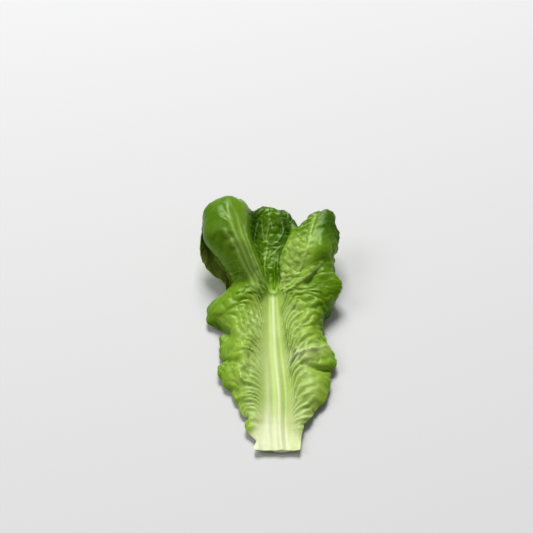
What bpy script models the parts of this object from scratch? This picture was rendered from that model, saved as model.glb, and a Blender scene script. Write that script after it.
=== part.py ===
"""Lettuce leaf: one picked cos-type leaf, lying face up on a table.

The leaf is a single sheet that grew as one piece. It is lofted through sixteen
lines that run from the cut stalk to the tips: the two margins, the veins of the
three lobes, the crests of the blisters beside them and the valleys between.
Its underside is thickened along the midrib. +Y runs from the cut end to the tips.
"""
import math

import bmesh
import bpy
import numpy as np

# Overall sizes of the leaf, in metres.
LEAF_LENGTH = 0.255
LEAF_WIDTH = 0.122
LEAF_HEIGHT = 0.059
STALK_WIDTH = 0.035

# The sheet's own thickness in the blade and along the midrib at the cut end.
BLADE_THICKNESS = 0.0010
MIDRIB_THICKNESS = 0.0040
MIDRIB_HALF_WIDTH = 0.009

# The frilled margin: waves up and down, and scallops in and out.
RUFFLE_HEIGHT = 0.0022
SCALLOP_DEPTH = 0.0016
RUFFLES_PER_SIDE = 9
RUFFLE_REACH = 0.30

# How finely the sheet is divided, along the leaf and across it.
STEPS_ALONG = 44
STEPS_ACROSS = 30

# The form lines, left to right, each from the cut end to the tips. They are drawn in
# millimetres as (across, along, up) on a leaf of the drawn sizes, and stretched to fit.
DRAWN_LENGTH = 255.0
DRAWN_WIDTH = 122.0
DRAWN_HEIGHT = 59.0
DRAWN_STALK = 35.0
FORM_LINES = {
    "left margin": [
        (-22, 1, 6), (-28, 27, 3.5), (-38, 54, 2.5), (-51, 83, 3), (-51, 124, 4), (-64, 147, 4),
        (-46, 165, 11), (-67, 192, 16), (-71, 209, 27), (-68, 228, 34), (-67, 240, 29),
    ],
    "left crease": [
        (-19, 1, 6), (-25, 28, 5), (-34, 54, 5), (-45, 84, 7), (-45, 122, 9), (-57, 148, 11),
        (-42, 176, 9), (-55, 202, 13), (-65, 218, 22), (-69, 224, 43), (-67, 238, 37),
    ],
    "left outer": [
        (-16, 1, 5.2), (-21, 28, 5.5), (-29, 54, 7.5), (-38, 85, 10.5), (-38, 120, 13), (-48, 148, 16.5),
        (-41, 171, 17), (-51, 183, 27), (-68, 202, 40), (-65, 229, 51), (-62, 242, 44),
    ],
    "left crest": [
        (-13, 1, 5), (-17.5, 28, 5.6), (-24, 55, 8.5), (-31, 86, 11.5), (-31, 119, 14), (-38, 149, 18.5),
        (-33, 169, 24), (-40, 184, 42), (-51, 204, 56), (-49, 234, 58), (-49, 246, 48),
    ],
    "left vein": [
        (-10, 1, 5), (-14, 28, 5.5), (-19, 56, 8), (-24, 88, 10.5), (-24, 120, 12.5), (-28, 151, 17),
        (-22, 168, 28), (-28, 180, 41), (-34, 194, 51), (-39, 233, 56), (-40, 245, 47),
    ],
    "left edge": [
        (-7, 1, 5), (-10, 28, 5.3), (-13, 57, 7), (-16, 90, 8.8), (-17, 121, 11), (-18, 155, 14),
        (-16, 169, 24), (-22, 184, 35), (-28, 200, 44), (-31, 230, 50), (-31, 242, 41),
    ],
    "left wall": [
        (-5.5, 1, 5.1), (-8, 28, 5.3), (-10.5, 57, 6.7), (-13, 90, 8.1), (-14, 122, 10.3), (-14.5, 157, 13),
        (-14, 175, 17), (-20, 195, 23), (-26, 213, 31), (-27, 236, 39), (-26, 243, 35),
    ],
    "left valley": [
        (-4, 1, 5.2), (-6, 28, 5.3), (-8, 57, 6.4), (-10, 91, 7.5), (-11, 123, 9.6), (-11, 158, 12),
        (-12, 175, 14), (-17, 197, 17), (-22, 218, 24), (-21, 240, 33), (-19, 248, 32),
    ],
    "midrib": [
        (-1, 1, 5.6), (-2, 28, 5.6), (-2.5, 57, 6.4), (-5, 91, 7.2), (-6.5, 123, 9.4), (-7.5, 159, 12),
        (-9, 175, 12.5), (-12, 197, 15), (-13, 219, 20), (-10, 242, 32), (-9, 250, 32),
    ],
    "right valley": [
        (1.5, 1, 5.2), (1.5, 28, 5.2), (2.5, 57, 6.2), (0.5, 91, 7.2), (-2, 123, 9.4), (-3, 158, 12),
        (-5, 175, 13), (-6, 199, 15), (-2, 220, 20), (2, 240, 31), (4, 246, 31),
    ],
    "right wall": [
        (2.5, 1, 5.1), (3, 28, 5.2), (4.8, 57, 6.4), (3.8, 90, 7.6), (1, 122, 9.7), (0, 157, 13),
        (-2, 173, 14.5), (-1, 200, 16.5), (7, 221, 23), (8, 227, 28), (13, 233, 29),
    ],
    "right edge": [
        (3.5, 1, 5), (4.5, 28, 5.2), (7, 57, 6.6), (7, 90, 8.2), (4, 122, 10.2), (3, 156, 14),
        (1, 169, 18), (1, 191, 26), (10, 208, 37), (14, 213, 37), (18, 220, 36),
    ],
    "right vein": [
        (6, 1, 5), (8, 28, 5.5), (12, 55, 8), (14, 88, 10.5), (10, 120, 12.2), (11, 152, 17),
        (8, 166, 22), (13, 173, 28), (21, 190, 37), (27, 224, 43), (29, 232, 40),
    ],
    "right crest": [
        (8, 1, 5), (11, 27, 6), (19, 53, 9), (23, 86, 12), (18, 118, 14.2), (21, 147, 19.5),
        (25, 161, 26), (28, 176, 32), (34, 193, 39), (39, 231, 44), (39, 240, 39),
    ],
    "right outer": [
        (10.5, 1, 5.5), (14, 26, 6), (26, 53, 7), (33, 86, 9.5), (26, 117, 12.5), (33, 143, 16),
        (52, 161, 23), (42, 179, 29), (45, 199, 35), (46, 228, 41), (46, 237, 35),
    ],
    "right margin": [
        (13, 1, 6), (17, 26, 4.5), (33, 52, 3), (43, 87, 4), (34, 118, 5), (33, 136, 3),
        (45, 160, 5), (45, 182, 20), (50, 202, 28), (50, 217, 33), (50, 224, 27),
    ],
}


def curve_weights(point_count, steps):
    """Catmull-Rom weights: one row for each step along a curve through the points."""
    table = np.zeros((steps + 1, point_count))
    for step in range(steps + 1):
        place = step / steps * (point_count - 1)
        first = min(int(place), point_count - 2)
        t = place - first
        shares = (
            (first - 1, -0.5 * t + t ** 2 - 0.5 * t ** 3),
            (first, 1.0 - 2.5 * t ** 2 + 1.5 * t ** 3),
            (first + 1, 0.5 * t + 2.0 * t ** 2 - 1.5 * t ** 3),
            (first + 2, -0.5 * t ** 2 + 0.5 * t ** 3),
        )
        for index, share in shares:
            if index < 0:
                table[step, 0] += 2.0 * share
                table[step, 1] -= share
            elif index >= point_count:
                table[step, -1] += 2.0 * share
                table[step, -2] -= share
            else:
                table[step, index] += share
    return table


def smooth_step(value):
    """0 below 0, 1 above 1, and an easy curve between."""
    value = min(max(value, 0.0), 1.0)
    return value * value * (3.0 - 2.0 * value)


def sheet_points():
    """The upper face as a grid of points, rows along the leaf and columns across it."""
    drawn = np.array(list(FORM_LINES.values()), dtype=float).transpose(1, 0, 2)
    rows, columns = drawn.shape[:2]
    along = curve_weights(rows, STEPS_ALONG)
    across = curve_weights(columns, STEPS_ACROSS)
    grid = np.einsum("ar,rck,bc->abk", along, drawn, across)

    for row in range(STEPS_ALONG + 1):
        station = row / STEPS_ALONG
        spread = smooth_step(station / 0.35)
        stalk_scale = STALK_WIDTH / DRAWN_STALK
        blade_scale = LEAF_WIDTH / DRAWN_WIDTH
        grid[row, :, 0] *= stalk_scale + (blade_scale - stalk_scale) * spread
    grid[:, :, 1] *= LEAF_LENGTH / DRAWN_LENGTH
    grid[:, :, 2] *= LEAF_HEIGHT / DRAWN_HEIGHT

    for row in range(STEPS_ALONG + 1):
        station = row / STEPS_ALONG
        fade_in = smooth_step((station - 0.04) / 0.10)
        wave = 2.0 * math.pi * RUFFLES_PER_SIDE * station
        for column in range(STEPS_ACROSS + 1):
            side = 2.0 * column / STEPS_ACROSS - 1.0
            reach = smooth_step((abs(side) - 1.0 + RUFFLE_REACH) / RUFFLE_REACH)
            turn = wave if side < 0.0 else wave + 2.0
            grid[row, column, 2] += RUFFLE_HEIGHT * fade_in * reach * math.sin(turn)
            grid[row, column, 0] += math.copysign(SCALLOP_DEPTH, side) * fade_in * reach * math.cos(turn)
    return grid


def midrib_share(point, rib_point, station):
    """How much of the midrib's thickness a point has: all on its line, none beyond its width."""
    half_width = MIDRIB_HALF_WIDTH * (1.0 - 0.75 * station)
    distance = abs(point[0] - rib_point[0])
    taper = 1.0 - smooth_step(station / 0.85)
    return taper * (1.0 - smooth_step(distance / half_width))


def build_leaf(collection):
    """The sheet as a mesh, given its wall by Solidify, thicker under the midrib."""
    grid = sheet_points()
    shape = bmesh.new()
    weights = shape.verts.layers.deform.verify()
    rib_line = list(FORM_LINES).index("midrib")
    rib_column = round(rib_line / (len(FORM_LINES) - 1) * STEPS_ACROSS)
    blade_share = BLADE_THICKNESS / MIDRIB_THICKNESS
    vertices = []
    for row in range(STEPS_ALONG + 1):
        line = []
        for column in range(STEPS_ACROSS + 1):
            vertex = shape.verts.new(grid[row, column])
            rib = midrib_share(grid[row, column], grid[row, rib_column], row / STEPS_ALONG)
            vertex[weights][0] = blade_share + (1.0 - blade_share) * rib
            line.append(vertex)
        vertices.append(line)
    for row in range(STEPS_ALONG):
        for column in range(STEPS_ACROSS):
            shape.faces.new((vertices[row][column], vertices[row][column + 1],
                             vertices[row + 1][column + 1], vertices[row + 1][column]))
    mesh = bpy.data.meshes.new("lettuce_leaf")
    shape.to_mesh(mesh)
    shape.free()
    mesh.shade_smooth()

    leaf = bpy.data.objects.new("lettuce_leaf", mesh)
    collection.objects.link(leaf)
    leaf.vertex_groups.new(name="wall")
    wall = leaf.modifiers.new("wall", "SOLIDIFY")
    wall.thickness = MIDRIB_THICKNESS
    wall.offset = -1.0
    wall.vertex_group = "wall"
    wall.use_quality_normals = True
    return leaf


def rest_on_origin(leaf):
    """Move the mesh so that the origin is under the middle of the leaf, on the table."""
    bpy.context.view_layer.update()
    solid = leaf.evaluated_get(bpy.context.evaluated_depsgraph_get())
    points = np.array([vertex.co[:] for vertex in solid.data.vertices])
    low, high = points.min(axis=0), points.max(axis=0)
    shift = np.array([(low[0] + high[0]) / 2.0, (low[1] + high[1]) / 2.0, low[2]])
    for vertex in leaf.data.vertices:
        vertex.co = np.array(vertex.co[:]) - shift


def leaf_material():
    """Fresh leaf: mid green with a soft waxy gloss."""
    material = bpy.data.materials.new("fresh leaf")
    material.use_nodes = True
    surface = material.node_tree.nodes["Principled BSDF"]
    surface.inputs["Base Color"].default_value = (0.18, 0.36, 0.06, 1.0)
    surface.inputs["Roughness"].default_value = 0.42
    surface.inputs["Metallic"].default_value = 0.0
    return material


for leftover in list(bpy.data.objects):
    bpy.data.objects.remove(leftover, do_unlink=True)

parts = bpy.data.collections.new("lettuce leaf")
bpy.context.scene.collection.children.link(parts)
leaf = build_leaf(parts)
leaf.data.materials.append(leaf_material())
rest_on_origin(leaf)
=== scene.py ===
"""A picked cos lettuce leaf lying on a pale table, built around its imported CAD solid."""
import math
import random

import bpy
import numpy as np
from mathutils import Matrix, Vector


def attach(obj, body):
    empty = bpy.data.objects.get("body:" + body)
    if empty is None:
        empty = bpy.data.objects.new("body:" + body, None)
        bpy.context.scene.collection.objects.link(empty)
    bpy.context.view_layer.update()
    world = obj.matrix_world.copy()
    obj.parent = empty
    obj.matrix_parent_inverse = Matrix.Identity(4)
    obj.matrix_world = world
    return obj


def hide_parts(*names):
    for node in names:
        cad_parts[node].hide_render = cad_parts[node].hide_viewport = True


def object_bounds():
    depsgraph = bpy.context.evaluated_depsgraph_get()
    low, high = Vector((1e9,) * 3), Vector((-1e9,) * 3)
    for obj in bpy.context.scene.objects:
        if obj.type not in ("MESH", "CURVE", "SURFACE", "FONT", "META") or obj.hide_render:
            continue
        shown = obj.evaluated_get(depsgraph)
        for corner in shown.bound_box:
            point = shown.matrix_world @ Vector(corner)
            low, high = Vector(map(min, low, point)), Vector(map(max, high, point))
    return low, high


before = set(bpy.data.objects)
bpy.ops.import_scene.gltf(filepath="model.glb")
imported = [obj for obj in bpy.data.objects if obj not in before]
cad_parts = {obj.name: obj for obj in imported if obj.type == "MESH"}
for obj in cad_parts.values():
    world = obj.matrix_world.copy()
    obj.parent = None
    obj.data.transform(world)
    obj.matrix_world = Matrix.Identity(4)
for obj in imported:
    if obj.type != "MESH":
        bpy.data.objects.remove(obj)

cad_low, cad_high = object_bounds()


# ---------------------------------------------------------------- the sheet of the leaf
# One sheet of leaf tissue that grew in a cos lettuce: three cupped lobes above a broad
# blade and a thick pale stalk. It is lofted through the same sixteen lines as the CAD
# solid, on a fine grid, as a closed skin with an upper face, an underside and a rim.

STEPS_ALONG = 264
STEPS_ACROSS = 180
BLADE_WALL = 0.0008
MIDRIB_WALL = 0.0042
MIDRIB_HALF_WIDTH = 0.009
SMOOTHING_PASSES = 16
MM = 0.001

# Each line runs from the cut end to the tips, as (across, along, up) in millimetres.
FORM_LINES = {
    "left margin": [
        (-22, 1, 6), (-28, 27, 3.5), (-38, 54, 2.5), (-51, 83, 3), (-51, 124, 4), (-64, 147, 4),
        (-46, 165, 11), (-67, 192, 16), (-71, 209, 27), (-68, 228, 34), (-67, 240, 29),
    ],
    "left crease": [
        (-19, 1, 6), (-25, 28, 5), (-34, 54, 5), (-45, 84, 7), (-45, 122, 9), (-57, 148, 11),
        (-42, 176, 9), (-55, 202, 13), (-65, 218, 22), (-69, 224, 43), (-67, 238, 37),
    ],
    "left outer": [
        (-16, 1, 5.2), (-21, 28, 5.5), (-29, 54, 7.5), (-38, 85, 10.5), (-38, 120, 13), (-48, 148, 16.5),
        (-41, 171, 17), (-51, 183, 27), (-68, 202, 40), (-65, 229, 51), (-62, 242, 44),
    ],
    "left crest": [
        (-13, 1, 5), (-17.5, 28, 5.6), (-24, 55, 8.5), (-31, 86, 11.5), (-31, 119, 14), (-38, 149, 18.5),
        (-33, 169, 24), (-40, 184, 42), (-51, 204, 56), (-49, 234, 58), (-49, 246, 48),
    ],
    "left vein": [
        (-10, 1, 5), (-14, 28, 5.5), (-19, 56, 8), (-24, 88, 10.5), (-24, 120, 12.5), (-28, 151, 17),
        (-22, 168, 28), (-28, 180, 41), (-34, 194, 51), (-39, 233, 56), (-40, 245, 47),
    ],
    "left edge": [
        (-7, 1, 5), (-10, 28, 5.3), (-13, 57, 7), (-16, 90, 8.8), (-17, 121, 11), (-18, 155, 14),
        (-16, 169, 24), (-22, 184, 35), (-28, 200, 44), (-31, 230, 50), (-31, 242, 41),
    ],
    "left wall": [
        (-5.5, 1, 5.1), (-8, 28, 5.3), (-10.5, 57, 6.7), (-13, 90, 8.1), (-14, 122, 10.3), (-14.5, 157, 13),
        (-14, 175, 17), (-20, 195, 23), (-26, 213, 31), (-27, 236, 39), (-26, 243, 35),
    ],
    "left valley": [
        (-4, 1, 5.2), (-6, 28, 5.3), (-8, 57, 6.4), (-10, 91, 7.5), (-11, 123, 9.6), (-11, 158, 12),
        (-12, 175, 14), (-17, 197, 17), (-22, 218, 24), (-21, 240, 33), (-19, 248, 32),
    ],
    "midrib": [
        (-1, 1, 5.6), (-2, 28, 5.6), (-2.5, 57, 6.4), (-5, 91, 7.2), (-6.5, 123, 9.4), (-7.5, 159, 12),
        (-9, 175, 12.5), (-12, 197, 15), (-13, 219, 20), (-10, 242, 32), (-9, 250, 32),
    ],
    "right valley": [
        (1.5, 1, 5.2), (1.5, 28, 5.2), (2.5, 57, 6.2), (0.5, 91, 7.2), (-2, 123, 9.4), (-3, 158, 12),
        (-5, 175, 13), (-6, 199, 15), (-2, 220, 20), (2, 240, 31), (4, 246, 31),
    ],
    "right wall": [
        (2.5, 1, 5.1), (3, 28, 5.2), (4.8, 57, 6.4), (3.8, 90, 7.6), (1, 122, 9.7), (0, 157, 13),
        (-2, 173, 14.5), (-1, 200, 16.5), (7, 221, 23), (8, 227, 28), (13, 233, 29),
    ],
    "right edge": [
        (3.5, 1, 5), (4.5, 28, 5.2), (7, 57, 6.6), (7, 90, 8.2), (4, 122, 10.2), (3, 156, 14),
        (1, 169, 18), (1, 191, 26), (10, 208, 37), (14, 213, 37), (18, 220, 36),
    ],
    "right vein": [
        (6, 1, 5), (8, 28, 5.5), (12, 55, 8), (14, 88, 10.5), (10, 120, 12.2), (11, 152, 17),
        (8, 166, 22), (13, 173, 28), (21, 190, 37), (27, 224, 43), (29, 232, 40),
    ],
    "right crest": [
        (8, 1, 5), (11, 27, 6), (19, 53, 9), (23, 86, 12), (18, 118, 14.2), (21, 147, 19.5),
        (25, 161, 26), (28, 176, 32), (34, 193, 39), (39, 231, 44), (39, 240, 39),
    ],
    "right outer": [
        (10.5, 1, 5.5), (14, 26, 6), (26, 53, 7), (33, 86, 9.5), (26, 117, 12.5), (33, 143, 16),
        (52, 161, 23), (42, 179, 29), (45, 199, 35), (46, 228, 41), (46, 237, 35),
    ],
    "right margin": [
        (13, 1, 6), (17, 26, 4.5), (33, 52, 3), (43, 87, 4), (34, 118, 5), (33, 136, 3),
        (45, 160, 5), (45, 182, 20), (50, 202, 28), (50, 217, 33), (50, 224, 27),
    ],
}


def curve_weights(point_count, steps):
    """Catmull-Rom weights: one row for each step along a curve through the points."""
    table = np.zeros((steps + 1, point_count))
    for step in range(steps + 1):
        place = step / steps * (point_count - 1)
        first = min(int(place), point_count - 2)
        t = place - first
        shares = (
            (first - 1, -0.5 * t + t ** 2 - 0.5 * t ** 3),
            (first, 1.0 - 2.5 * t ** 2 + 1.5 * t ** 3),
            (first + 1, 0.5 * t + 2.0 * t ** 2 - 1.5 * t ** 3),
            (first + 2, -0.5 * t ** 2 + 0.5 * t ** 3),
        )
        for index, share in shares:
            if index < 0:
                table[step, 0] += 2.0 * share
                table[step, 1] -= share
            elif index >= point_count:
                table[step, -1] += 2.0 * share
                table[step, -2] -= share
            else:
                table[step, index] += share
    return table


def ease(value, start=0.0, end=1.0):
    """0 before start, 1 after end, and an easy curve between."""
    share = np.clip((value - start) / (end - start), 0.0, 1.0)
    return share * share * (3.0 - 2.0 * share)


def relax(points, passes):
    """Evens out the grid's curvature and leaves its four corners where they are."""
    for _ in range(passes):
        for axis in (0, 1):
            turned = np.swapaxes(points, 0, axis)
            turned[1:-1] = (turned[:-2] + 2.0 * turned[1:-1] + turned[2:]) / 4.0
    return points


drawn = np.array(list(FORM_LINES.values()), dtype=float).transpose(1, 0, 2) * MM
line_count = drawn.shape[1]
sheet = np.einsum("ar,rck,bc->abk", curve_weights(drawn.shape[0], STEPS_ALONG), drawn,
                  curve_weights(line_count, STEPS_ACROSS))
sheet = relax(sheet, SMOOTHING_PASSES)

# The side margins are scalloped: (share of the length, width as a share, reach out in mm),
# where a reach below nothing is a notch.
SCALLOPS = {
    "left": [
        (0.035, 0.014, -3.0), (0.078, 0.016, 2.0), (0.116, 0.011, -7.0), (0.225, 0.012, -1.5),
        (0.262, 0.026, 2.0), (0.317, 0.009, -7.0), (0.350, 0.016, -1.0), (0.392, 0.012, -5.0),
        (0.440, 0.022, 3.0), (0.500, 0.040, -2.0),
    ],
    "right": [
        (0.100, 0.012, -1.0), (0.170, 0.012, -1.0), (0.262, 0.020, -3.5), (0.283, 0.010, -4.0),
        (0.328, 0.020, 1.0), (0.372, 0.010, -2.0), (0.66, 0.012, -2.5), (0.76, 0.012, -2.0),
    ],
}
SCALLOP_SHARE = 0.06
row_places = np.linspace(0.0, 1.0, STEPS_ALONG + 1)[:, None]
column_places = np.linspace(0.0, 1.0, STEPS_ACROSS + 1)[None, :]
for side, scallops in SCALLOPS.items():
    away, outwards = (column_places, -1.0) if side == "left" else (1.0 - column_places, 1.0)
    for middle, width, reach in scallops:
        bulge = np.exp(-((row_places - middle) / width) ** 2) * np.exp(-(away / SCALLOP_SHARE) ** 2)
        sheet[:, :, 0] += outwards * reach * MM * bulge

cad_middle = (np.array(cad_low) + np.array(cad_high)) / 2.0
sheet_middle = (sheet.min(axis=(0, 1)) + sheet.max(axis=(0, 1))) / 2.0
sheet[:, :, :2] += (cad_middle - sheet_middle)[:2]

# Distances on the sheet, in metres: along the leaf from the cut, across it from the
# midrib, and in from the nearest margin.
rib_column = round(list(FORM_LINES).index("midrib") / (line_count - 1) * STEPS_ACROSS)
row_steps = np.linalg.norm(np.diff(sheet, axis=1), axis=2)
across = np.concatenate([np.zeros((STEPS_ALONG + 1, 1)), np.cumsum(row_steps, axis=1)], axis=1)
row_length = across[:, -1:].copy()
from_left = across.copy()
across = across - across[:, rib_column:rib_column + 1]
column_steps = np.linalg.norm(np.diff(sheet, axis=0), axis=2)
along = np.concatenate([np.zeros((1, STEPS_ACROSS + 1)), np.cumsum(column_steps, axis=0)], axis=0)
from_top = along[-1:] - along
leaf_length = along[-1, rib_column]
side_margin = np.minimum(from_left, row_length - from_left)
margin = np.minimum(side_margin, from_top)
station = row_places * np.ones_like(column_places)
column_share = column_places * np.ones_like(row_places)

slope_across = np.gradient(sheet, axis=1)
slope_along = np.gradient(sheet, axis=0)
outward = np.cross(slope_across, slope_along)
outward /= np.linalg.norm(outward, axis=2, keepdims=True)
sideways = slope_across / np.linalg.norm(slope_across, axis=2, keepdims=True)
sideways *= np.sign(column_share - 0.5)[:, :, None]


def at_point(grid, row, column):
    """What a grid holds at a row and a column that need not be whole."""
    first, left = min(int(row), STEPS_ALONG - 1), min(int(column), STEPS_ACROSS - 1)
    t, s = row - first, column - left
    low = grid[first, left] * (1.0 - s) + grid[first, left + 1] * s
    high = grid[first + 1, left] * (1.0 - s) + grid[first + 1, left + 1] * s
    return low * (1.0 - t) + high * t


def at_shares(grid, row_share, column_share):
    """What a grid holds at a share of the leaf's length and a share of its width."""
    row = min(max(row_share, 0.0), 1.0) * STEPS_ALONG
    column = min(max(column_share, 0.0), 1.0) * STEPS_ACROSS
    return at_point(grid, row, column)


def smooth_path(stations, steps_each=12):
    """Points on the sheet along a smooth line through (length share, width share) stations."""
    stations = np.array(stations)
    smooth = curve_weights(len(stations), steps_each * (len(stations) - 1)) @ stations
    return [at_shares(sheet, row, column) for row, column in smooth]


# The folds that this leaf has of its own: (height in mm, half width in mm, stations along
# it), where a height below nothing is a groove.
TONGUE_RIDGE = [(0.29, 0.74), (0.31, 0.80), (0.32, 0.853), (0.331, 0.903), (0.35, 0.969), (0.355, 1.0)]
LEFT_STRAND = [(-0.02, 0.25), (0.02, 0.27), (0.08, 0.295), (0.16, 0.345), (0.22, 0.38), (0.30, 0.43)]
RIGHT_STRAND = [(-0.02, 0.78), (0.03, 0.78), (0.10, 0.77), (0.17, 0.765), (0.24, 0.79)]
RIGHT_GROOVE = [(0.02, 0.61), (0.08, 0.61), (0.14, 0.61), (0.21, 0.605), (0.28, 0.612), (0.36, 0.60)]
FOLDS = (
    # The lip where the midrib ends, the pocket behind it and the fin that stands in it.
    (1.6, 1.7, [(0.57, 0.34), (0.545, 0.41), (0.51, 0.54), (0.54, 0.64), (0.58, 0.73)]),
    (-3.0, 2.6, [(0.57, 0.52), (0.61, 0.54), (0.66, 0.55)]),
    (-3.0, 2.6, [(0.58, 0.62), (0.63, 0.65), (0.67, 0.69)]),
    (3.4, 1.3, [(0.545, 0.565), (0.60, 0.59), (0.65, 0.605), (0.69, 0.615)]),
    # The right lobe: a broad fold beside its vein, a smooth bulge and the crease below it.
    (1.8, 3.2, [(0.54, 0.80), (0.61, 0.835), (0.68, 0.855)]),
    (3.0, 8.0, [(0.81, 0.87), (0.76, 0.885)]),
    (-2.4, 2.2, [(0.58, 0.85), (0.64, 0.868), (0.70, 0.89)]),
    (-1.2, 1.5, [(0.85, 0.83), (0.85, 0.88), (0.82, 0.915), (0.77, 0.94), (0.72, 0.955)]),
    # The hood of the left lobe: two curved ripples, three dimples and the hollow at its foot.
    (1.3, 2.2, [(0.88, 0.17), (0.83, 0.19), (0.81, 0.22)]),
    (-1.0, 1.4, [(0.87, 0.195), (0.845, 0.21), (0.82, 0.235)]),
    (-1.2, 2.0, [(0.77, 0.160), (0.77, 0.168)]),
    (-2.4, 2.8, [(0.75, 0.19), (0.755, 0.22)]),
    (-2.0, 2.4, [(0.71, 0.20), (0.71, 0.21)]),
    (-3.0, 4.5, [(0.64, 0.16), (0.61, 0.19), (0.59, 0.23)]),
    # The right margin: the tongue, the groove under it and the smooth scallop below.
    (0.8, 6.0, [(0.32, 0.80), (0.33, 0.88), (0.345, 0.99)]),
    (1.8, 1.4, TONGUE_RIDGE),
    (-3.0, 2.2, [(0.285, 0.82), (0.275, 0.90), (0.280, 0.99)]),
    (2.2, 8.0, [(0.24, 0.92), (0.19, 0.93)]),
    # The left margin: its scallops, the groove between the upper two and two low ridges.
    (-3.0, 2.8, [(0.43, 0.01), (0.40, 0.03), (0.37, 0.09)]),
    (1.8, 5.0, [(0.35, 0.02), (0.345, 0.08)]),
    (-1.6, 2.2, [(0.318, 0.01), (0.305, 0.10), (0.300, 0.16)]),
    (1.8, 5.0, [(0.28, 0.04), (0.24, 0.05)]),
    (2.0, 1.8, [(0.28, 0.115), (0.25, 0.135), (0.22, 0.20)]),
    (-1.4, 1.6, [(0.275, 0.16), (0.24, 0.20)]),
    (1.6, 2.4, [(0.19, 0.03), (0.19, 0.16)]),
    (2.0, 3.2, [(0.075, 0.01), (0.085, 0.08)]),
    (2.0, 6.0, [(0.47, 0.04), (0.46, 0.09)]),
    # The two strands that run up the stalk beside the midrib, and the groove on its right.
    (0.4, 2.6, LEFT_STRAND), (0.3, 3.2, RIGHT_STRAND), (-0.9, 4.0, RIGHT_GROOVE),
)
flat_sheet = sheet.copy()


def along_path(stations, half_width):
    """1 on a line over the sheet, falling off to its sides and towards its two ends."""
    path = np.array(smooth_path(stations))
    tapers = 0.25 + 0.75 * np.sin(np.linspace(0.0, math.pi, len(path))) ** 0.5
    near = np.zeros(sheet.shape[:2])
    for spot, taper in zip(path, tapers):
        apart = np.linalg.norm(flat_sheet - spot, axis=2)
        near = np.maximum(near, taper * np.exp(-(apart / (half_width * MM)) ** 2))
    return near


lift = np.zeros(sheet.shape[:2])
for height, half_width, stations in FOLDS:
    lift += height * MM * along_path(stations, half_width)
sheet += outward * lift[:, :, None]

rib_width = MIDRIB_HALF_WIDTH * (1.0 - 0.75 * station)
rib_share = (1.0 - ease(station / 0.85)) * (1.0 - ease(np.abs(across) / rib_width))
wall = BLADE_WALL + (MIDRIB_WALL - BLADE_WALL) * rib_share


def skin_mesh(name):
    """The closed skin: the grid twice, face up and face down, joined round the rim."""
    rows, columns = STEPS_ALONG + 1, STEPS_ACROSS + 1
    count = rows * columns
    number = np.arange(count).reshape(rows, columns)
    upper = np.stack([number[:-1, :-1], number[:-1, 1:], number[1:, 1:], number[1:, :-1]], axis=-1)
    upper = upper.reshape(-1, 4)
    under = upper[:, ::-1] + count
    border = np.concatenate([number[0, :-1], number[:-1, -1], number[-1, :0:-1], number[:0:-1, 0]])
    ahead = np.roll(border, -1)
    rim = np.stack([ahead, border, border + count, ahead + count], axis=-1)
    mesh = bpy.data.meshes.new(name)
    points = np.concatenate([sheet.reshape(-1, 3), sheet.reshape(-1, 3)])
    mesh.from_pydata(points, [], np.concatenate([upper, under, rim]).tolist())
    mesh.update()
    return mesh


leaf_mesh = skin_mesh("lettuce_leaf_sheet")
leaf = bpy.data.objects.new("leaf_sheet", leaf_mesh)
bpy.context.scene.collection.objects.link(leaf)


def keep_value(name, values):
    """Stores one number for each point of the grid, the same on both faces."""
    data = leaf_mesh.attributes.new(name, "FLOAT", "POINT").data
    flat = values.reshape(-1).astype(np.float32)
    data.foreach_set("value", np.concatenate([flat, flat]))


def keep_vector(name, values):
    """Stores one direction for each point of the grid, the same on both faces."""
    data = leaf_mesh.attributes.new(name, "FLOAT_VECTOR", "POINT").data
    flat = values.reshape(-1, 3).astype(np.float32)
    data.foreach_set("vector", np.concatenate([flat, flat]).reshape(-1))


under = leaf_mesh.attributes.new("under", "FLOAT", "POINT").data
under.foreach_set("value", np.repeat([0.0, 1.0], sheet.shape[0] * sheet.shape[1]).astype(np.float32))
keep_vector("outward", outward)
keep_vector("position_kept", sheet)
keep_vector("sideways", sideways)
keep_value("wall", wall)
keep_value("side_margin", side_margin)
keep_value("top_margin", from_top)
keep_value("along", along)

# A side vein leaves its main vein almost along it and bends out: at a share of the way
# to the margin it has climbed that share's power of its whole climb. So each point of the
# blade knows where along the main vein its own side vein began, which is what the
# wrinkles and the puffs between the veins follow.
VEIN_CLIMB = {"left": 0.09, "right": 0.12}
VEIN_CLIMB_GAIN = {"left": 0.22, "right": 0.42}
VEIN_BEND = 0.42
LOBE_VEIN_CLIMB = 0.07
LOBE_VEIN_BEND = 0.65
BAND_WIDTHS = {
    "left": [0.0110, 0.0120, 0.0100, 0.0065, 0.0022, 0.0012],
    "right": [0.0085, 0.0085, 0.0075, 0.0050, 0.0020, 0.0012],
}
BAND_STATIONS = [0.0, 0.20, 0.33, 0.48, 0.60, 1.0]
# Each lobe: its main vein, and the first and the last line that it reaches to, as numbers
# of the form lines counted from 0.
LOBES = {"left": (4.0, 0.0, 6.0), "middle": (8.0, 6.0, 10.5), "right": (12.0, 10.5, 15.0)}

on_left = across < 0.0
band = np.where(on_left, np.interp(station, BAND_STATIONS, BAND_WIDTHS["left"]),
                np.interp(station, BAND_STATIONS, BAND_WIDTHS["right"]))
half_row = np.where(on_left, -across[:, :1], across[:, -1:])
share_out = np.clip(np.abs(across) - band, 0.0, None) / half_row
bent = share_out ** VEIN_BEND
climb = np.where(on_left, VEIN_CLIMB["left"], VEIN_CLIMB["right"])
climb_gain = np.where(on_left, VEIN_CLIMB_GAIN["left"], VEIN_CLIMB_GAIN["right"])
vein_start = leaf_length * (station - climb * bent) / (1.0 + climb_gain * bent)

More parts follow.
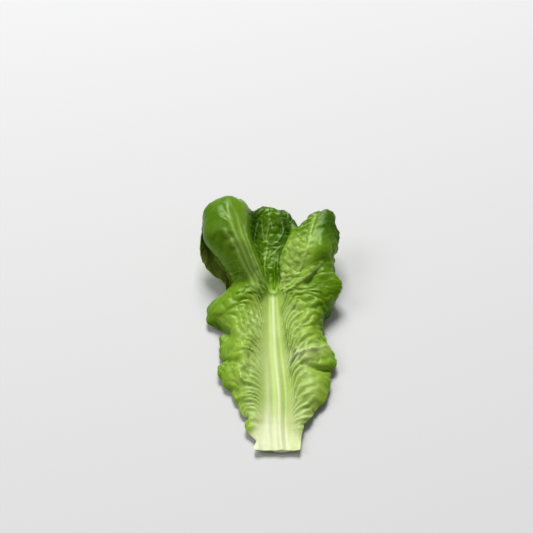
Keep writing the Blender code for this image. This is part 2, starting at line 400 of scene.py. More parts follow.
lobe_across = np.zeros_like(across)
for lines in LOBES.values():
    vein, first, last = (round(line / (line_count - 1) * STEPS_ACROSS) for line in lines)
    lobe_across[:, first:last + 1] = across[:, first:last + 1] - across[:, vein:vein + 1]
lobe_share = ease(station, 0.50, 0.62)

# The ribs and the puffs don't run quite true, so where they begin wanders by some 3 mm.
wander = 0.0030 * np.sin(along / 0.0085 + 3.0 * np.sin(across / 0.013)) * np.sin(across / 0.011 + 1.0)
wander += 0.0035 * np.sin(along / 0.021 - across / 0.017 + 2.0)
keep_value("vein_start", vein_start + wander)
keep_value("lobe_share", lobe_share)
keep_value("across", across)
lobe_vein_end = (1.0 - ease(column_share, 0.36, 0.46)) * ease(station, 0.78, 0.90)
keep_value("lobe_vein_room", ease(station, 0.46, 0.56) * (1.0 - lobe_vein_end))

# How much the tissue puffs up between the veins, and how much the margin frills: none in
# the stalk, most in the blade, and little on the smooth hood of the left lobe. The names
# are regions of the leaf with soft borders, apart from lip_station, which is how far up
# the leaf the lip at the midrib's end runs.
hood = ease(station, 0.62, 0.80) * (1.0 - ease(column_share, 0.22, 0.30))
lip_station = 0.515 + 0.35 * np.abs(column_share - 0.54)
heart = (ease(station - lip_station, 0.0, 0.03) * ease(column_share, 0.38, 0.42)
         * (1.0 - ease(column_share, 0.65, 0.70)))
off_band = ease(np.abs(across), band * 0.4, band * 2.6)
outer = ease(np.abs(across) - band, 0.002, 0.020)
blade = ease(station, 0.03, 0.16) * outer * (1.0 - lobe_share)
left_flank = ease(column_share, 0.18, 0.24) * (1.0 - ease(column_share, 0.36, 0.42))
right_puffs = ease(column_share, 0.70, 0.74) * (1.0 - ease(column_share, 0.80, 0.84))
right_smooth = ease(column_share, 0.80, 0.84) * ease(station, 0.66, 0.74)
lobes = lobe_share * (0.60 + 0.40 * right_puffs - 0.35 * right_smooth)
lobes *= (1.0 - 0.62 * hood) * (1.0 - 0.65 * left_flank)
shoulder = ease(station, 0.36, 0.42) * (1.0 - ease(column_share, 0.14, 0.24))
low_right = (ease(column_share, 0.78, 0.86) * ease(station, 0.10, 0.14)
             * (1.0 - ease(station, 0.27, 0.30)))
blade *= 1.0 - 0.70 * np.exp(-(side_margin / 0.011) ** 2)
blade *= (1.0 - 0.45 * shoulder) * (1.0 - 0.65 * low_right)
keep_value("puff_room", blade + lobes)

# Where the ribs and the side veins show: close to the midrib, and in the lobes.
inner = ease(np.abs(across), band * 0.8, band * 1.6)
inner *= 1.0 - ease(np.abs(across) - band, 0.008, 0.024)
inner *= 1.0 - ease(station, 0.45, 0.50) * (1.0 - ease(np.abs(across), 0.008, 0.014))
inner *= 0.60 + 0.40 * np.where(on_left, ease(station, 0.14, 0.26), 1.0)
in_lobes = lobe_share * (0.35 + 0.35 * heart) * (1.0 - hood) * (1.0 - left_flank)
in_lobes *= 1.0 - 0.7 * right_smooth
keep_value("vein_room", inner * ease(station, 0.05, 0.20) * (1.0 - lobe_share) + in_lobes)
keep_value("frill_room", ease(station, 0.04, 0.12) * (1.0 - 0.75 * hood))

# The midrib lies in a shallow channel: the blade stands up beside its smooth band.
BANK_HEIGHT = 0.0024
keep_value("bank", BANK_HEIGHT * off_band * ease(station, 0.02, 0.16) * (1.0 - lobe_share))

# How green the tissue is, from 0 to 1: cream in the stalk and beside the midrib, deepest in the lobes, and
# deepened below in a few places as painted shade. pale_width is how far from the midrib it takes to turn
# green.
pale_width = np.interp(station, [0.0, 0.10, 0.25, 0.45, 0.60, 1.0],
                       [0.034, 0.026, 0.022, 0.018, 0.006, 0.003])
pale_width = pale_width * np.where(on_left, 1.56, 1.88)
beside = 1.0 - np.exp(-(np.clip(np.abs(across) - 0.6 * band, 0.0, None) / pale_width) ** 1.9)
deepest = 0.70 + 0.03 * ease(station, 0.46, 0.66)
rib_green = 0.27 * ease(station, 0.03, 0.20) + 0.06 * ease(station, 0.30, 0.50)
rib_green += 0.08 * ease(station, 0.44, 0.52)
green = rib_green + (deepest - rib_green) * beside * ease(station, 0.0, 0.14)
green = np.maximum(green, lobe_share * (0.50 + 0.14 * ease(np.abs(lobe_across), 0.0, 0.012)))
green += 0.14 * np.exp(-margin / 0.006) * ease(station, 0.05, 0.10)
# The right half of the stalk, the middle lobe and the hood are greener: partly their own deeper tone and
# partly painted shade, as the sunken middle lobe and the stalk's right half lie in shade, and most on the
# hood's left side, which is turned from the light.
green += 0.12 * (1.0 - ease(station, 0.06, 0.14)) * ease(across, 0.003, 0.008)
green += 0.24 * heart + 0.07 * hood + 0.10 * hood * (1.0 - ease(column_share, 0.08, 0.20))
# The right lobe is pale at its foot and deep green at its tip.
right_lobe = ease(column_share, 0.66, 0.71)
green -= 0.29 * ease(station, 0.50, 0.60) * right_lobe * (1.0 - ease(column_share, 0.80, 0.88))
green += 0.28 * ease(station, 0.78, 0.88) * right_lobe
# The tongue is pale along its ridge. The margin above it is turned down into shade, and that shade is painted
# on as a deeper green; the small frill at the stalk's left is deep green.
green -= 0.20 * along_path(TONGUE_RIDGE, 8.0) + 0.16 * along_path(TONGUE_RIDGE, 1.8)
green += 0.10 * np.exp(-((station - 0.52) / 0.05) ** 2) * ease(column_share, 0.92, 0.97)
green += 0.40 * np.exp(-((station - 0.085) / 0.022) ** 2) * (1.0 - ease(column_share, 0.03, 0.12))
# Painted shade: the groove right of the midrib is a little deeper green. The strand on its left is paler.
green += 0.06 * along_path(RIGHT_GROOVE, 3.2) - 0.10 * along_path(LEFT_STRAND, 2.6)
keep_value("green", np.clip(green, 0.0, 1.0))

# The left lobe's margin is folded in under its hood, and the shade it lies in there is painted on as a dark
# olive.
keep_value("strip", ease(station, 0.56, 0.64) * (1.0 - ease(column_share, 0.05, 0.08)))


# ---------------------------------------------------------------- the veins
# Veins are strands that branch off the midrib at a narrow angle and bend out towards the
# margin; each lobe has a main vein of its own with smaller ones beside it. They are drawn
# on the sheet as lines, and the relief below rises over them.

# Starts, spacings and ends are shares of the leaf's length.
MIDRIB_SHARE = rib_column / STEPS_ACROSS
LEFT_VEIN_SHARE = list(FORM_LINES).index("left vein") / (line_count - 1)
RIGHT_VEIN_SHARE = list(FORM_LINES).index("right vein") / (line_count - 1)
BLADE_VEINS = 22
BLADE_VEIN_SPACING = 0.024
BLADE_VEIN_FIRST = -0.06
BLADE_VEINS_END = 0.58
LOBE_VEIN_SPACING = 0.042
LOBE_VEINS_END = 0.995
vein_random = random.Random(7)


def on_sheet(row_share, reach):
    """The point of the sheet at a share of its length and a distance across from the midrib."""
    row = min(max(row_share, 0.0), 1.0) * STEPS_ALONG
    first = min(int(row), STEPS_ALONG - 1)
    distances = across[first] * (1.0 - (row - first)) + across[first + 1] * (row - first)
    return at_point(sheet, row, np.interp(reach, distances, np.arange(STEPS_ACROSS + 1)))


def side_vein(start, climb, from_share, to_share, bend, row_end, steps=28):
    """A side vein that leaves its main vein almost along it and bends out to the margin."""
    points = []
    for step in range(steps + 1):
        t = step / steps
        row = start + climb * t ** bend
        if row < 0.0:
            continue
        if row > row_end:
            break
        near, far = at_shares(across, row, from_share), at_shares(across, row, to_share)
        points.append(on_sheet(row, near + (far - near) * t))
    return points


def vein_lines(name, paths):
    """An object of edges only, one chain for each vein."""
    mesh = bpy.data.meshes.new(name)
    points, edges = [], []
    for path in paths:
        edges += [(len(points) + k, len(points) + k + 1) for k in range(len(path) - 1)]
        points += [tuple(point) for point in path]
    mesh.from_pydata(points, edges, [])
    lines = bpy.data.objects.new(name, mesh)
    bpy.context.scene.collection.objects.link(lines)
    return lines


midrib_paths = [smooth_path([(row, MIDRIB_SHARE) for row in (0.0, 0.2, 0.4, 0.5)])]
lobe_paths = [smooth_path(stations) for stations in (
    # The strands of the left lobe's vein.
    [(0.43, 0.52), (0.47, 0.50), (0.50, 0.442), (0.54, 0.35), (0.58, 0.312), (0.62, 0.278), (0.69, 0.275),
     (0.76, 0.275), (0.80, 0.269), (0.85, 0.258), (0.87, 0.235)],
    [(0.42, 0.50), (0.46, 0.475), (0.50, 0.392), (0.54, 0.308), (0.58, 0.280), (0.62, 0.253), (0.66, 0.247),
     (0.74, 0.242), (0.80, 0.235), (0.86, 0.215)],
    [(0.49, 0.40), (0.53, 0.30), (0.58, 0.250), (0.64, 0.223), (0.71, 0.215), (0.78, 0.205)],
    [(0.52, 0.42), (0.56, 0.355), (0.61, 0.312), (0.69, 0.303), (0.77, 0.300), (0.83, 0.292)],
    # The right lobe's vein, the strand along its left edge and the strand to its corner.
    [(0.44, 0.60), (0.49, 0.66), (0.53, 0.70), (0.56, 0.765), (0.61, 0.812), (0.72, 0.810), (0.78, 0.808),
     (0.85, 0.808), (0.90, 0.82)],
    [(0.58, 0.70), (0.61, 0.742), (0.65, 0.742), (0.70, 0.753), (0.77, 0.736)],
    [(0.46, 0.68), (0.50, 0.745), (0.55, 0.80), (0.60, 0.835), (0.65, 0.858), (0.71, 0.892)],
)]
side_paths = [smooth_path(stations) for stations in (
    # The net of the middle lobe: its trunk, two forks and the tips between them.
    [(0.57, 0.442), (0.64, 0.453), (0.70, 0.503), (0.74, 0.531), (0.79, 0.542)],
    [(0.79, 0.542), (0.78, 0.569), (0.79, 0.592), (0.81, 0.608), (0.84, 0.619), (0.87, 0.60)],
    [(0.79, 0.542), (0.80, 0.519), (0.83, 0.508), (0.87, 0.495)],
    [(0.79, 0.542), (0.81, 0.531), (0.84, 0.536), (0.88, 0.536)],
    [(0.73, 0.514), (0.74, 0.447), (0.76, 0.425), (0.79, 0.436), (0.86, 0.475)],
    [(0.72, 0.542), (0.74, 0.581), (0.76, 0.614)],
    [(0.94, 0.52), (0.89, 0.531), (0.86, 0.547), (0.84, 0.558)],
    # Zigzag strands between the puffs of the right lobe.
    [(0.80, 0.805), (0.78, 0.79), (0.76, 0.765)], [(0.74, 0.808), (0.74, 0.785), (0.71, 0.76)],
    [(0.68, 0.806), (0.69, 0.785), (0.67, 0.755)], [(0.62, 0.80), (0.64, 0.775), (0.63, 0.745)],
)]


def jitter(amount):
    """A chance difference of up to the amount, either way."""
    return vein_random.uniform(-amount, amount)


for side, end_share in (("left", 0.0), ("right", 1.0)):
    for k in range(BLADE_VEINS):
        start = BLADE_VEIN_FIRST + BLADE_VEIN_SPACING * k + jitter(0.008)
        climb = VEIN_CLIMB[side] + VEIN_CLIMB_GAIN[side] * start + jitter(0.02)
        bend = VEIN_BEND + jitter(0.06)
        side_paths.append(side_vein(start, climb, MIDRIB_SHARE, end_share, bend, BLADE_VEINS_END))
for from_share, to_share, first_start, count in (
        (LEFT_VEIN_SHARE, 0.08, 0.60, 7), (RIGHT_VEIN_SHARE, 0.99, 0.62, 8)):
    for k in range(count):
        start = first_start + LOBE_VEIN_SPACING * k + jitter(0.008)
        climb = LOBE_VEIN_CLIMB + jitter(0.015)
        side_paths.append(side_vein(start, climb, from_share, to_share, LOBE_VEIN_BEND, LOBE_VEINS_END))

vein_objects = {
    "Midrib": vein_lines("midrib_line", midrib_paths),
    "Lobe vein": vein_lines("lobe_vein_lines", lobe_paths),
    "Side vein": vein_lines("side_vein_lines", side_paths),
}


# ---------------------------------------------------------------- the relief
# Between its veins the blade grows faster than they do, so it puffs up into blisters and
# its margin frills. The node tree raises ridges over the vein lines, puffs the tissue
# between them, and waves the margin up, down, in and out.

MATH = "ShaderNodeMath"
NAMED = "GeometryNodeInputNamedAttribute"
# Heights, widths and spacings in metres; the seed picks one noise for the frill.
relief_sizes = {
    "Midrib height": 0.0006, "Midrib width": 0.0025,
    "Lobe vein height": 0.0008, "Lobe vein width": 0.0013,
    "Side vein height": 0.0005, "Side vein width": 0.0010,
    "Rib height": 0.0017, "Rib spacing": 0.0046,
    "Puff height": 0.0020, "Puff spacing": 0.0076, "Blister height": 0.0011, "Blister spacing": 0.0066,
    "Crinkle height": 0.0005, "Crinkle spacing": 0.0034,
    "Fold height": 0.0028, "Fold spacing": 0.0200,
    "Frill height": 0.0055, "Frill length": 0.0130, "Frill reach": 0.0080,
    "Scallop depth": 0.0026, "Scallop reach": 0.0060, "Seed": 3.0,
}


def add_node(tree, kind, inputs=None, **settings):
    """Adds a node; an input takes a value, a socket, or a node for its first output."""
    node = tree.nodes.new(kind)
    for name, value in settings.items():
        setattr(node, name, value)
    for key, value in (inputs or {}).items():
        if isinstance(value, bpy.types.Node):
            value = value.outputs[0]
        if isinstance(value, bpy.types.NodeSocket):
            tree.links.new(value, node.inputs[key])
        else:
            node.inputs[key].default_value = value
    return node


relief = bpy.data.node_groups.new("leaf relief", "GeometryNodeTree")
relief.is_modifier = True
relief.interface.new_socket("Geometry", in_out="INPUT", socket_type="NodeSocketGeometry")
relief.interface.new_socket("Geometry", in_out="OUTPUT", socket_type="NodeSocketGeometry")
for name, value in relief_sizes.items():
    relief.interface.new_socket(name, in_out="INPUT", socket_type="NodeSocketFloat").default_value = value
for vein_set in vein_objects:
    relief.interface.new_socket(vein_set + " lines", in_out="INPUT", socket_type="NodeSocketObject")
relief.interface.new_socket("Material", in_out="INPUT", socket_type="NodeSocketMaterial")
given = add_node(relief, "NodeGroupInput").outputs

# What the sheet keeps at each of its points, and how many of each pattern go in a metre.
kept = {}
for name in ("vein_start", "along", "across", "side_margin", "top_margin", "lobe_share", "lobe_vein_room",
             "puff_room", "vein_room", "frill_room", "bank", "wall", "under"):
    kept[name] = add_node(relief, NAMED, {"Name": name}, data_type="FLOAT").outputs["Attribute"]
for name in ("position_kept", "outward", "sideways"):
    kept[name] = add_node(relief, NAMED, {"Name": name}, data_type="FLOAT_VECTOR").outputs["Attribute"]
a_metre = {}
for name in ("Puff spacing", "Blister spacing", "Crinkle spacing", "Fold spacing", "Frill length"):
    a_metre[name] = add_node(relief, MATH, {0: 1.0, 1: given[name]}, operation="DIVIDE")


def bell(distance, width):
    """1 at no distance, falling to nothing past the width."""
    share = add_node(relief, MATH, {0: distance, 1: width}, operation="DIVIDE")
    squared = add_node(relief, MATH, {0: share, 1: 2.0}, operation="POWER")
    below = add_node(relief, MATH, {0: squared, 1: -1.0}, operation="MULTIPLY")
    return add_node(relief, MATH, {0: below}, operation="EXPONENT")


def wander_over(place, waves, detail):
    """Smooth noise from -1 to 1, with so many waves to a metre."""
    texture = add_node(relief, "ShaderNodeTexNoise", {"Vector": place, "Scale": waves, "Detail": detail})
    from_middle = add_node(relief, MATH, {0: texture, 1: 0.5}, operation="SUBTRACT")
    return add_node(relief, MATH, {0: from_middle, 1: 2.0}, operation="MULTIPLY")


def domes(place, dimensions):
    """Domes with creases between them, one to each cell of a Voronoi pattern."""
    cells = add_node(relief, "ShaderNodeTexVoronoi", {"Vector": place, "Scale": 1.0, "Randomness": 0.9},
                     feature="DISTANCE_TO_EDGE", voronoi_dimensions=dimensions)
    full = add_node(relief, "ShaderNodeMapRange",
                    {"Value": cells.outputs["Distance"], "From Min": 0.0, "From Max": 0.40})
    return add_node(relief, MATH, {0: full, 1: 0.6}, operation="POWER")


# Ridges over the veins.
current = given["Geometry"]
ridge = {}
for vein_set, stored in (("Midrib", "from_midrib"), ("Lobe vein", "from_lobe_vein"),
                         ("Side vein", "from_side_vein")):
    lines = add_node(relief, "GeometryNodeObjectInfo", {"Object": given[vein_set + " lines"]})
    near = add_node(relief, "GeometryNodeProximity", {0: lines.outputs["Geometry"]}, target_element="EDGES")
    current = add_node(relief, "GeometryNodeStoreNamedAttribute",
                       {"Geometry": current, "Name": stored, "Value": near.outputs["Distance"]},
                       data_type="FLOAT", domain="POINT")
    distance = add_node(relief, NAMED, {"Name": stored}, data_type="FLOAT").outputs["Attribute"]
    ridge[vein_set] = add_node(relief, MATH, {0: bell(distance, given[vein_set + " width"]),
                                              1: given[vein_set + " height"]}, operation="MULTIPLY")
lobe_ridge = add_node(relief, MATH, {0: ridge["Lobe vein"], 1: kept["lobe_vein_room"]}, operation="MULTIPLY")
side_ridge = add_node(relief, MATH, {0: ridge["Side vein"], 1: kept["vein_room"]}, operation="MULTIPLY")
ridges = add_node(relief, MATH, {0: ridge["Midrib"], 1: lobe_ridge}, operation="ADD")
ridges = add_node(relief, MATH, {0: ridges, 1: side_ridge}, operation="ADD")

# Fine ribs between the side veins, which run along with them and die out in the puffs.
off_lobes = add_node(relief, MATH, {0: 1.0, 1: kept["lobe_share"]}, operation="SUBTRACT")
rib_number = add_node(relief, MATH, {0: kept["vein_start"], 1: given["Rib spacing"]}, operation="DIVIDE")
rib_number = add_node(relief, MATH, {0: wander_over(kept["position_kept"], 60.0, 2.0), 1: 0.9,
                                     2: rib_number}, operation="MULTIPLY_ADD")
rib_turn = add_node(relief, MATH, {0: rib_number, 1: 2.0 * math.pi}, operation="MULTIPLY")
rib_wave = add_node(relief, MATH, {0: rib_turn}, operation="COSINE")
rib_wave = add_node(relief, MATH, {0: rib_wave, 1: 0.5, 2: 0.5}, operation="MULTIPLY_ADD")
patches = add_node(relief, MATH, {0: wander_over(kept["position_kept"], 55.0, 1.0), 1: 0.8,
                                  2: 0.85}, operation="MULTIPLY_ADD")
rib_room = add_node(relief, MATH, {0: kept["vein_room"], 1: off_lobes}, operation="MULTIPLY")
rib_room = add_node(relief, MATH, {0: rib_room, 1: patches}, operation="MULTIPLY")
rib = add_node(relief, MATH, {0: rib_wave, 1: given["Rib height"]}, operation="MULTIPLY")
rib = add_node(relief, MATH, {0: rib, 1: rib_room}, operation="MULTIPLY")

# Puffs in cells that are drawn out along the side veins, and round blisters in the lobes.
cell_wander = wander_over(kept["position_kept"], 110.0, 1.0)
cell_wander = add_node(relief, MATH, {0: cell_wander, 1: 0.5}, operation="MULTIPLY")
cell_along = add_node(relief, MATH, {0: kept["vein_start"], 1: a_metre["Puff spacing"],
                                     2: cell_wander}, operation="MULTIPLY_ADD")
cell_across = add_node(relief, MATH, {0: kept["across"], 1: a_metre["Puff spacing"]}, operation="MULTIPLY")
cell_across = add_node(relief, MATH, {0: cell_across, 1: 0.62}, operation="MULTIPLY")
cell_place = add_node(relief, "ShaderNodeCombineXYZ", {"X": cell_along, "Y": cell_across})
puff_dome = add_node(relief, MATH, {0: domes(cell_place, "2D"), 1: off_lobes}, operation="MULTIPLY")
blister_place = add_node(relief, "ShaderNodeVectorMath",
                         {0: kept["position_kept"], "Scale": a_metre["Blister spacing"]}, operation="SCALE")
blister_room = add_node(relief, MATH, {0: 0.5, 1: kept["lobe_share"]}, operation="ADD")
blister_dome = add_node(relief, MATH, {0: domes(blister_place, "3D"), 1: blister_room}, operation="MULTIPLY")
crinkle = wander_over(kept["position_kept"], a_metre["Crinkle spacing"], 2.0)
fold = wander_over(kept["position_kept"], a_metre["Fold spacing"], 1.0)
puff = 0.0
for pattern, height in ((puff_dome, "Puff height"), (blister_dome, "Blister height"),
                        (crinkle, "Crinkle height"), (fold, "Fold height")):
    puff = add_node(relief, MATH, {0: pattern, 1: given[height], 2: puff}, operation="MULTIPLY_ADD")
puff = add_node(relief, MATH, {0: puff, 1: kept["puff_room"], 2: rib}, operation="MULTIPLY_ADD")
puff = add_node(relief, MATH, {0: puff, 1: kept["bank"]}, operation="ADD")
# The domes are kept for the colour: the creases between them get painted shade.
dome = add_node(relief, MATH, {0: blister_dome, 1: 0.6}, operation="MULTIPLY")
dome = add_node(relief, MATH, {0: puff_dome, 1: 0.7, 2: dome}, operation="MULTIPLY_ADD")

# The frilled margin: waves that run across the sides, and across the tips.
frill = 0.0
wave_place = {}
for lengthwise, from_margin in (("along", "side_margin"), ("across", "top_margin")):
    crosswise = kept["across"] if lengthwise == "along" else kept["top_margin"]
    crosswise = add_node(relief, MATH, {0: crosswise, 1: 0.25}, operation="MULTIPLY")
    place = add_node(relief, "ShaderNodeCombineXYZ",
                     {"X": kept[lengthwise], "Y": crosswise, "Z": given["Seed"]})
    wave_place[from_margin] = place
    wave = wander_over(place, a_metre["Frill length"], 2.0)
    at_margin = bell(kept[from_margin], given["Frill reach"])
    frill = add_node(relief, MATH, {0: wave, 1: at_margin, 2: frill}, operation="MULTIPLY_ADD")
for factor in (given["Frill height"], kept["frill_room"]):
    frill = add_node(relief, MATH, {0: frill, 1: factor}, operation="MULTIPLY")

# The upper face carries the ridges. The underside lies a wall's thickness below it, and
# bulges down under the lobes' veins.
swell = add_node(relief, MATH, {0: puff, 1: frill}, operation="ADD")
upper = add_node(relief, MATH, {0: ridges, 1: swell}, operation="ADD")
lower = add_node(relief, MATH, {0: swell, 1: lobe_ridge}, operation="SUBTRACT")
lower = add_node(relief, MATH, {0: lower, 1: kept["wall"]}, operation="SUBTRACT")
lift = add_node(relief, "ShaderNodeMix", {0: kept["under"], 2: upper, 3: lower}, data_type="FLOAT")
raised = add_node(relief, "ShaderNodeVectorMath", {0: kept["outward"], "Scale": lift}, operation="SCALE")
finer = add_node(relief, MATH, {0: a_metre["Frill length"], 1: 1.3}, operation="MULTIPLY")
scallop = wander_over(wave_place["side_margin"], finer, 3.0)
for factor in (bell(kept["side_margin"], given["Scallop reach"]), given["Scallop depth"], kept["frill_room"]):
    scallop = add_node(relief, MATH, {0: scallop, 1: factor}, operation="MULTIPLY")
spread = add_node(relief, "ShaderNodeVectorMath", {0: kept["sideways"], "Scale": scallop}, operation="SCALE")
offset = add_node(relief, "ShaderNodeVectorMath", {0: raised, 1: spread}, operation="ADD")
for stored, value in (("dome", dome), ("rib", rib_wave), ("rib_room", rib_room)):
    current = add_node(relief, "GeometryNodeStoreNamedAttribute",
                       {"Geometry": current, "Name": stored, "Value": value},
                       data_type="FLOAT", domain="POINT")
current = add_node(relief, "GeometryNodeSetPosition", {"Geometry": current, "Offset": offset})
current = add_node(relief, "GeometryNodeRealizeInstances", {"Geometry": current})
current = add_node(relief, "GeometryNodeSetMaterial", {"Geometry": current, "Material": given["Material"]})
add_node(relief, "NodeGroupOutput", {"Geometry": current})


# ---------------------------------------------------------------- leaf tissue
# Fresh leaf tissue under a thin wax: cream and almost clear in the stalk, yellow-green beside the midrib and
# dark green in the lobes, with paler veins. Shade in its creases, grooves and folds is painted into the green
# as well. The wax gives it a soft gloss, and light that enters it comes out again green.

# How deep the green is, from the stalk's cream to the lobes' tips.
GREENS = (
    (0.0, "#E4E8C0"), (0.12, "#D8E2A8"), (0.30, "#B9D075"), (0.50, "#98BB3C"), (0.70, "#739C14"),
    (0.85, "#527E00"), (1.0, "#396000"),
)
# The tints over it: the value that each follows, where it is strongest and where it ends,
# how it fades, what gives it room, its strength, its colour and how it is laid on.
TINTS = (
    # Painted shade: the creases between the puffs and the grooves between the ribs are laid on in a deeper
    # green.
    ("dome", 0.15, 0.70, "LINEAR", "puff_room", 0.40, "#6E9A2A", "MULTIPLY"),
    ("rib", 0.0, 0.6, "LINEAR", "rib_room", 0.80, "#76A02A", "MIX"),
    # Veins hold more water and less green, and so does the tissue beside them.
    ("from_side_vein", 0.0, 0.0011, "SMOOTHSTEP", "vein_room", 0.75, "#C2DB90", "MIX"),
    ("from_lobe_vein", 0.0, 0.0045, "SMOOTHSTEP", "lobe_vein_room", 0.65, "#9CC04E", "MIX"),
    ("from_lobe_vein", 0.0, 0.0015, "SMOOTHSTEP", "lobe_vein_room", 0.50, "#B8D57C", "MIX"),
    ("from_midrib", 0.0, 0.0028, "SMOOTHSTEP", None, 0.65, "#E2EBB6", "MIX"),
    # Painted shade: the margin folded in under the hood is dark olive. The underside is paler and greyer.
    ("strip", 1.0, 0.0, "LINEAR", None, 0.80, "#7F8A3A", "MIX"),
    ("under", 1.0, 0.0, "LINEAR", None, 0.45, "#A9BE78", "MIX"),
)


def linear(hex_colour):
    """An sRGB hex colour as linear RGBA."""
    parts = [int(hex_colour[i:i + 2], 16) / 255.0 for i in (1, 3, 5)]
    parts = [part / 12.92 if part <= 0.04045 else ((part + 0.055) / 1.055) ** 2.4 for part in parts]
    return (*parts, 1.0)


tissue = bpy.data.materials.new("waxy fresh leaf tissue")
tissue.use_nodes = True
shader = tissue.node_tree
shader.nodes.clear()
surface = {}
for name in ("green", "dome", "puff_room", "rib", "rib_room", "from_side_vein", "vein_room", "from_lobe_vein",
             "lobe_vein_room", "from_midrib", "strip", "under"):
    surface[name] = add_node(shader, "ShaderNodeAttribute", attribute_name=name).outputs["Fac"]

# Blotches some 20 mm wide make the green a little uneven.
place = add_node(shader, "ShaderNodeTexCoord").outputs["Object"]
blotches = add_node(shader, "ShaderNodeTexNoise", {"Vector": place, "Scale": 45.0, "Detail": 3.0})
shift = add_node(shader, MATH, {0: blotches, 1: 0.5}, operation="SUBTRACT")
depth = add_node(shader, MATH, {0: shift, 1: 0.22, 2: surface["green"]}, operation="MULTIPLY_ADD")
ramp = add_node(shader, "ShaderNodeValToRGB", {"Fac": depth})
while len(ramp.color_ramp.elements) < len(GREENS):
    ramp.color_ramp.elements.new(0.5)
for element, (place_on_ramp, tone) in zip(ramp.color_ramp.elements, GREENS):
    element.position = place_on_ramp
    element.color = linear(tone)
colour = ramp.outputs["Color"]
for value, strongest, end, fading, room, strength, tint, blend in TINTS:
    share = add_node(shader, "ShaderNodeMapRange",
                     {"Value": surface[value], "From Min": strongest, "From Max": end,
                      "To Min": strength, "To Max": 0.0}, interpolation_type=fading)
    if room:
        share = add_node(shader, MATH, {0: share, 1: surface[room]}, operation="MULTIPLY")
    colour = add_node(shader, "ShaderNodeMix", {0: share, 6: colour, 7: linear(tint)},
                      data_type="RGBA", blend_type=blend).outputs[2]

# The cells of a real leaf's skin are under 0.1 mm wide, too fine to show. They are drawn
# 2.4 mm wide, with a grain of 1.1 mm over them, which breaks up the gloss.
grain = add_node(shader, "ShaderNodeTexNoise", {"Vector": place, "Scale": 900.0, "Detail": 3.0})
cells = add_node(shader, "ShaderNodeTexVoronoi", {"Vector": place, "Scale": 420.0}, feature="SMOOTH_F1")
bump = add_node(shader, "ShaderNodeBump",
                {"Strength": 0.25, "Distance": 0.0004, "Height": cells.outputs["Distance"]})
bump = add_node(shader, "ShaderNodeBump",
                {"Strength": 0.15, "Distance": 0.0002, "Height": grain, "Normal": bump})
wax = add_node(shader, "ShaderNodeBsdfPrincipled", {
    "Base Color": colour, "Roughness": 0.36, "IOR": 1.42, "Specular IOR Level": 0.35,
    "Specular Tint": (0.75, 1.0, 0.45, 1.0), "Subsurface Weight": 0.40,
    "Subsurface Radius": (0.8, 1.0, 0.5), "Subsurface Scale": 0.0014, "Normal": bump})
add_node(shader, "ShaderNodeOutputMaterial", {"Surface": wax})

# The tree is run once on the sheet, and its result becomes the leaf's own mesh.
grower = leaf.modifiers.new("relief", "NODES")
grower.node_group = relief
sockets = {item.name: item.identifier for item in relief.interface.items_tree if item.in_out == "INPUT"}
for name, value in relief_sizes.items():
    grower[sockets[name]] = value
for vein_set, lines in vein_objects.items():
    grower[sockets[vein_set + " lines"]] = lines
grower[sockets["Material"]] = tissue
bpy.context.view_layer.update()
grown = bpy.data.meshes.new_from_object(leaf.evaluated_get(bpy.context.evaluated_depsgraph_get()))
leaf.modifiers.clear()
leaf.data = grown
for lines in vein_objects.values():
    bpy.data.objects.remove(lines)

# An edge as sharp as this, in degrees, is the rim, and stays crisp.
RIM_ANGLE = 60.0

# Where it would sink into the table, both faces are lifted together until the underside
# lies on it, and then the whole leaf is let down onto it.
points = np.zeros(len(grown.vertices) * 3, np.float32)
grown.vertices.foreach_get("co", points)
points = points.reshape(2, -1, 3)
points[:, :, 2] += np.clip(-points.min(axis=0)[:, 2], 0.0, None)
points[:, :, 2] -= points[:, :, 2].min()
grown.vertices.foreach_set("co", points.reshape(-1))
grown.shade_smooth()
grown.set_sharp_from_angle(angle=math.radians(RIM_ANGLE))
grown.update()

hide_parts("lettuce_leaf")
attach(leaf, "root")


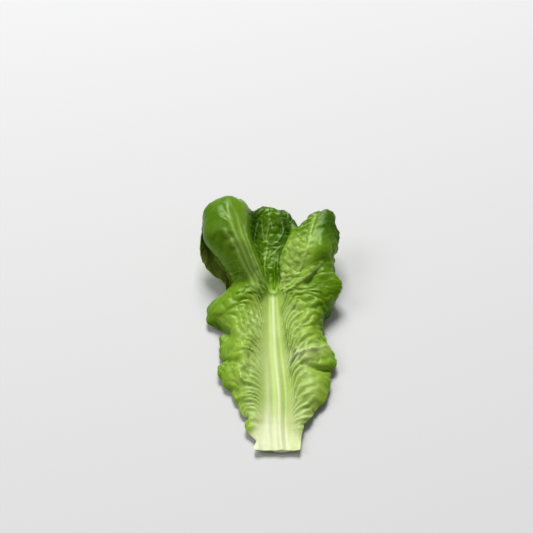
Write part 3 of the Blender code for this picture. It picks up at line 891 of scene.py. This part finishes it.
# ---------------------------------------------------------------- table, light and camera
# A matt pale grey table top, a large soft light high behind the leaf, a weak one from its
# left, and even light from all round. None of them belongs to the leaf.

# The table lies a fifth of a millimetre low, so that the two faces don't fight.
bpy.ops.mesh.primitive_plane_add(size=8.0, location=(0.0, 0.0, -0.0002))
table = bpy.context.object
table.name = "table"
# Matt paint scatters all light, so the leaf has a soft shadow and no reflection.
table_paint = bpy.data.materials.new("matt pale grey paint")
table_paint.use_nodes = True
paint = table_paint.node_tree.nodes["Principled BSDF"]
paint.inputs["Base Color"].default_value = linear("#E2E2E2")
paint.inputs["Roughness"].default_value = 0.9
paint.inputs["Specular IOR Level"].default_value = 0.2
table.data.materials.append(table_paint)


def soft_light(name, place, power, size):
    """A square area light that faces the leaf."""
    data = bpy.data.lights.new(name, "AREA")
    data.energy = power
    data.size = size
    lamp = bpy.data.objects.new(name, data)
    lamp.location = place
    lamp.rotation_euler = (-Vector(place)).to_track_quat("-Z", "Y").to_euler()
    bpy.context.scene.collection.objects.link(lamp)


soft_light("key_light", (-0.2, 2.8, 3.3), power=184.0, size=1.8)
soft_light("fill_light", (-2.6, 0.2, 2.6), power=32.0, size=2.0)
world = bpy.data.worlds.new("even light")
world.use_nodes = True
world.node_tree.nodes["Background"].inputs["Color"].default_value = (1.0, 1.0, 1.0, 1.0)
world.node_tree.nodes["Background"].inputs["Strength"].default_value = 0.16
bpy.context.scene.world = world
bpy.context.scene.view_settings.view_transform = "Standard"

CAMERA_ELEVATION = math.radians(45.0)
CAMERA_DISTANCE = 1.12
camera_data = bpy.data.cameras.new("camera")
camera_data.lens = 85.0
camera_data.sensor_width = 36.0
camera = bpy.data.objects.new("camera", camera_data)
aim = Vector((-0.0031, 0.0805, 0.0))
to_camera = Vector((0.0, -math.cos(CAMERA_ELEVATION), math.sin(CAMERA_ELEVATION)))
camera.location = aim + CAMERA_DISTANCE * to_camera
camera.rotation_euler = (math.pi / 2.0 - CAMERA_ELEVATION, 0.0, 0.0)
bpy.context.scene.collection.objects.link(camera)
bpy.context.scene.camera = camera
